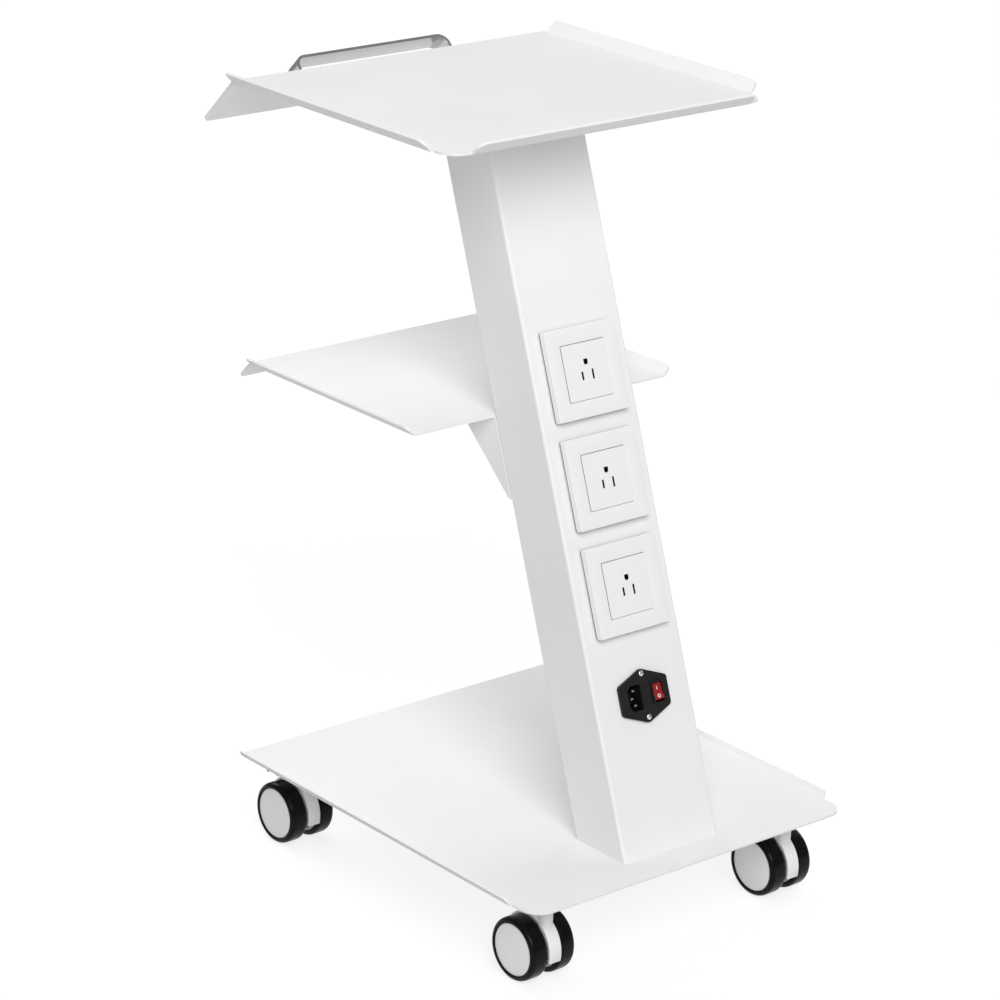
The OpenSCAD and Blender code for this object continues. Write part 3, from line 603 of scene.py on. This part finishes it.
# The cover frame's section as (half width, corner radius, depth) from the outer back edge
FRAME_SECTION = ((43.0, 1.3, -1.7), (43.0, 1.3, -8.0), (42.96, 1.28, -8.2), (42.85, 1.2, -8.37),
                 (42.68, 1.1, -8.47), (42.5, 1.0, -8.5), (27.6, 1.5, -8.5), (27.25, 1.3, -8.42),
                 (27.05, 1.25, -8.2), (27.0, 1.2, -7.9), (27.0, 1.2, -4.8), (27.1, 1.2, -4.7),
                 (37.9, 1.0, -4.7), (38.0, 1.0, -4.6), (38.0, 1.0, -1.7), (38.1, 1.0, -1.6),
                 (42.9, 1.3, -1.6))


def column_frame():
    """The leaning column's own frame: its front face is at Y 0, and Z runs along it."""
    low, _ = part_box("column_shell")
    return Matrix.Translation((0, low.y, low.z)) @ Matrix.Rotation(-LEAN, 4, "X")


def make_outlet_frames():
    for level in LEVELS:
        low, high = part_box(f"outlet_frame_{level}")
        along = (COLUMN.inverted() @ ((low + high) / 2)).z
        bm = bmesh.new()
        loft(bm, [rounded_square(*step) for step in FRAME_SECTION], closed=True)
        bm.transform(COLUMN @ Matrix.Translation((0, 0, along)))
        piece = new_piece(f"outlet_frame_{level}_look", bm, "outlet_plastic")
        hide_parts(f"outlet_frame_{level}")
        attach(piece, "trolley")


# ---------------------------------------------------------------- power inlet

# The inlet's screws: name, height from the inlet's middle, turn of the cross recess
INLET_SCREWS = (("upper", 20.9, 20), ("lower", -20.9, 65))
SCREW_HEAD = ((0.0, -4.55), (1.0, -4.5), (1.9, -4.3), (2.5, -3.95), (2.75, -3.5), (2.8, -3.05),
              (2.7, -3.0), (1.7, -3.0), (1.7, 8.0), (0.0, 8.0))
RECESS_ARM, RECESS_HALF = 1.45, 0.32
# Depth and scale of the recess at its mouth and its bottom
RECESS_ENDS = ((-6.0, 1.25), (-3.3, 0.7))


def cut(obj, bm):
    """Takes a closed shape out of a piece."""
    mesh = bpy.data.meshes.new("cutter")
    bmesh.ops.recalc_face_normals(bm, faces=bm.faces)
    bm.to_mesh(mesh)
    bm.free()
    cutter = bpy.data.objects.new("cutter", mesh)
    bpy.context.scene.collection.objects.link(cutter)
    boolean = obj.modifiers.new("cut", "BOOLEAN")
    boolean.object = cutter
    boolean.solver = "EXACT"
    bpy.context.view_layer.update()
    evaluated = obj.evaluated_get(bpy.context.evaluated_depsgraph_get())
    result = bpy.data.meshes.new_from_object(evaluated)
    obj.modifiers.clear()
    obj.data = result
    bpy.data.objects.remove(cutter)
    bpy.data.meshes.remove(mesh)


def cross_recess():
    """A cross-shaped prism with tapered sides, seen from -Y."""
    a, h = RECESS_ARM, RECESS_HALF
    outline = ((h, h), (h, a), (-h, a), (-h, h), (-a, h), (-a, -h),
               (-h, -h), (-h, -a), (h, -a), (h, -h), (a, -h), (a, h))
    bm = bmesh.new()
    capped(bm, [[Vector((x * k, y, z * k)) * MM for x, z in outline] for y, k in RECESS_ENDS])
    return bm


def make_inlet_screws():
    low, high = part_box("inlet_screws")
    middle = COLUMN.inverted() @ ((low + high) / 2)
    to_y = Matrix.Rotation(-math.pi / 2, 4, "X")
    for name, z, turn in INLET_SCREWS:
        bm = bmesh.new()
        revolve(bm, SCREW_HEAD, to_y, 48)
        piece = new_piece(f"inlet_screw_{name}", bm, "bright_pin")
        recess = cross_recess()
        recess.transform(Matrix.Rotation(math.radians(turn), 4, "Y"))
        cut(piece, recess)
        piece.data.transform(COLUMN @ Matrix.Translation((0, 0, middle.z + z * MM)))
        piece.data.set_sharp_from_angle(angle=SMOOTH_ANGLE)
        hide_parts("inlet_screws")
        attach(piece, "trolley")


# The rocker's rest angle, and how far its two slopes lie in front of its pivot: FACE in the
# middle, rising by RISE over RUN towards both ends
ROCKER_TILT = math.radians(10)
ROCKER_FACE, ROCKER_RISE, ROCKER_RUN = 5, 1.3, 9
# Where a mark's top and root lie against the slope
MARK_TOP, MARK_ROOT = -0.06, 0.1
BAR = ((-0.4, -1.6), (0.4, -1.6), (0.4, 1.6), (-0.4, 1.6))
# Name, height on the rocker, outline and hole of the generic marks for on and off
ROCKER_MARKS = (("i", 2.9, BAR, None), ("o", -4.9, circle_points(1.9), circle_points(1.05)))


def make_rocker_marks():
    """The generic I and O of a mains switch, printed on the rocker's two slopes."""
    joints = frame["record"]["behaviour"]["joints"]
    pivot = next(j["pos_m"] for j in joints if j["name"] == "switch_rocker")
    middle = Matrix.Translation(Vector(pivot)) @ Matrix.Rotation(-LEAN - ROCKER_TILT, 4, "X")
    slope = math.atan(ROCKER_RISE / ROCKER_RUN)
    for name, along, outline, hole in ROCKER_MARKS:
        front = -ROCKER_FACE - ROCKER_RISE * abs(along) / ROCKER_RUN
        place = middle @ Matrix.Translation(Vector((0, front, along)) * MM)
        place = place @ Matrix.Rotation(math.copysign(slope, along), 4, "X")
        steps = [(outline, MARK_ROOT), (outline, MARK_TOP)]
        if hole:
            steps += [(hole, MARK_TOP), (hole, MARK_ROOT)]
        loops = [[Vector((x, y, z)) * MM for x, z in loop] for loop, y in steps]
        bm = bmesh.new()
        if hole:
            loft(bm, loops, closed=True)
        else:
            capped(bm, loops)
        bm.transform(place)
        piece = new_piece(f"rocker_mark_{name}", bm, "mark_white")
        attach(piece, "rocker")


# ---------------------------------------------------------------- building

make_camera()
make_world()
make_lights()
COLUMN = column_frame()
MATERIALS = make_materials()
dress_cad()
dress_outlet_modules()
make_wheels()
make_hoods()
make_outlet_frames()
make_inlet_screws()
make_rocker_marks()
make_floor()

bpy.context.view_layer.update()
